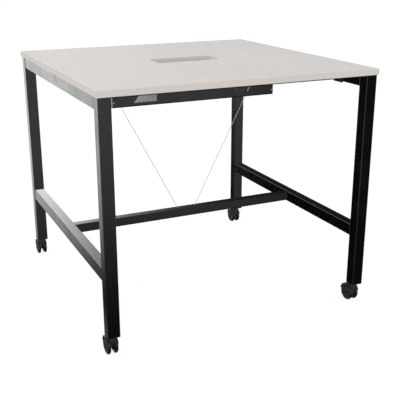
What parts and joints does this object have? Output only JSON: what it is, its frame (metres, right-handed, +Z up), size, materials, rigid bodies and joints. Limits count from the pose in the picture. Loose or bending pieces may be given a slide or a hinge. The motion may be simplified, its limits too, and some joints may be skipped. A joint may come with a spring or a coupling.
{
  "type": "standing meeting table",
  "caption": "Square standing-height meeting table on swivel casters: light top with a cable cut-out, black steel H-base, cable tray underneath and thin brace wires.",
  "frame": {"origin": "on the floor, under the centre of the table top", "axes": "+Z up; +X to the right along the front edge, which is also the long way of the cut-out, the tray and the stretcher; +Y to the back, the way the casters trail"},
  "size_m": [1.2, 1.2379, 1.05],
  "materials": {
    "top_laminate": "satin melamine face, warm light grey",
    "top_edging": "satin edge banding, same colour as the face",
    "frame_paint": "satin black powder coat",
    "tray_paint": "satin black powder coat on sheet steel",
    "zinc_steel": "bright zinc plate",
    "wire_steel": "stainless wire",
    "rivet_aluminium": "plain aluminium rivet heads",
    "insert_plastic": "black moulded plastic",
    "caster_plastic": "black moulded nylon",
    "wheel_plastic": "black moulded nylon with a softer black tread"
  },
  "bodies": {
    "frame": {"table_top": "top_laminate", "edge_band_front": "top_edging", "edge_band_back": "top_edging", "edge_band_left": "top_edging", "edge_band_right": "top_edging", "cutout_edge_band": "top_edging", "leg_front_left": "frame_paint", "leg_front_right": "frame_paint", "leg_back_left": "frame_paint", "leg_back_right": "frame_paint", "side_rail_left": "frame_paint", "crossbar_left": "frame_paint", "side_rail_right": "frame_paint", "crossbar_right": "frame_paint", "stretcher": "frame_paint", "stretcher_end_plates": "frame_paint", "stretcher_bolts": "zinc_steel", "stretcher_weld_nuts": "zinc_steel", "under_top_beam_front": "frame_paint", "beam_end_plates_front": "frame_paint", "under_top_beam_back": "frame_paint", "beam_end_plates_back": "frame_paint", "beam_bolts": "zinc_steel", "beam_weld_nuts": "zinc_steel", "cable_tray": "tray_paint", "tray_end_left": "tray_paint", "tray_end_right": "tray_paint", "tray_rivets": "rivet_aluminium", "brace_wire_left": "wire_steel", "wire_fork_left": "zinc_steel", "wire_bracket_left": "frame_paint", "brace_wire_right": "wire_steel", "wire_fork_right": "zinc_steel", "wire_bracket_right": "frame_paint", "clevis_pins": "zinc_steel", "wire_stops": "zinc_steel", "wire_anchor_block": "zinc_steel", "rail_screws": "zinc_steel", "beam_screws": "zinc_steel", "tray_screws": "zinc_steel", "bracket_screws": "zinc_steel", "leg_inserts": "insert_plastic", "caster_stems": "zinc_steel"},
    "swivel_front_left": {"caster_hood_front_left": "caster_plastic", "caster_axle_front_left": "zinc_steel"},
    "wheel_front_left_left": {"caster_wheel_front_left_left": "wheel_plastic"},
    "wheel_front_left_right": {"caster_wheel_front_left_right": "wheel_plastic"},
    "swivel_front_right": {"caster_hood_front_right": "caster_plastic", "caster_axle_front_right": "zinc_steel"},
    "wheel_front_right_left": {"caster_wheel_front_right_left": "wheel_plastic"},
    "wheel_front_right_right": {"caster_wheel_front_right_right": "wheel_plastic"},
    "swivel_back_left": {"caster_hood_back_left": "caster_plastic", "caster_axle_back_left": "zinc_steel"},
    "wheel_back_left_left": {"caster_wheel_back_left_left": "wheel_plastic"},
    "wheel_back_left_right": {"caster_wheel_back_left_right": "wheel_plastic"},
    "swivel_back_right": {"caster_hood_back_right": "caster_plastic", "caster_axle_back_right": "zinc_steel"},
    "wheel_back_right_left": {"caster_wheel_back_right_left": "wheel_plastic"},
    "wheel_back_right_right": {"caster_wheel_back_right_right": "wheel_plastic"}
  },
  "joints": [
    {"name": "swivel_front_left", "type": "hinge", "parent": "frame", "child": "swivel_front_left", "pos_m": [-0.57, -0.57, 0.0867], "axis": [0, 0, 1], "continuous": true},
    {"name": "roll_front_left_left", "type": "hinge", "parent": "swivel_front_left", "child": "wheel_front_left_left", "pos_m": [-0.57, -0.542, 0.0375], "axis": [1, 0, 0], "continuous": true},
    {"name": "roll_front_left_right", "type": "hinge", "parent": "swivel_front_left", "child": "wheel_front_left_right", "pos_m": [-0.57, -0.542, 0.0375], "axis": [1, 0, 0], "continuous": true},
    {"name": "swivel_front_right", "type": "hinge", "parent": "frame", "child": "swivel_front_right", "pos_m": [0.57, -0.57, 0.0867], "axis": [0, 0, 1], "continuous": true},
    {"name": "roll_front_right_left", "type": "hinge", "parent": "swivel_front_right", "child": "wheel_front_right_left", "pos_m": [0.57, -0.542, 0.0375], "axis": [1, 0, 0], "continuous": true},
    {"name": "roll_front_right_right", "type": "hinge", "parent": "swivel_front_right", "child": "wheel_front_right_right", "pos_m": [0.57, -0.542, 0.0375], "axis": [1, 0, 0], "continuous": true},
    {"name": "swivel_back_left", "type": "hinge", "parent": "frame", "child": "swivel_back_left", "pos_m": [-0.57, 0.57, 0.0867], "axis": [0, 0, 1], "continuous": true},
    {"name": "roll_back_left_left", "type": "hinge", "parent": "swivel_back_left", "child": "wheel_back_left_left", "pos_m": [-0.57, 0.598, 0.0375], "axis": [1, 0, 0], "continuous": true},
    {"name": "roll_back_left_right", "type": "hinge", "parent": "swivel_back_left", "child": "wheel_back_left_right", "pos_m": [-0.57, 0.598, 0.0375], "axis": [1, 0, 0], "continuous": true},
    {"name": "swivel_back_right", "type": "hinge", "parent": "frame", "child": "swivel_back_right", "pos_m": [0.57, 0.57, 0.0867], "axis": [0, 0, 1], "continuous": true},
    {"name": "roll_back_right_left", "type": "hinge", "parent": "swivel_back_right", "child": "wheel_back_right_left", "pos_m": [0.57, 0.598, 0.0375], "axis": [1, 0, 0], "continuous": true},
    {"name": "roll_back_right_right", "type": "hinge", "parent": "swivel_back_right", "child": "wheel_back_right_right", "pos_m": [0.57, 0.598, 0.0375], "axis": [1, 0, 0], "continuous": true}
  ]
}
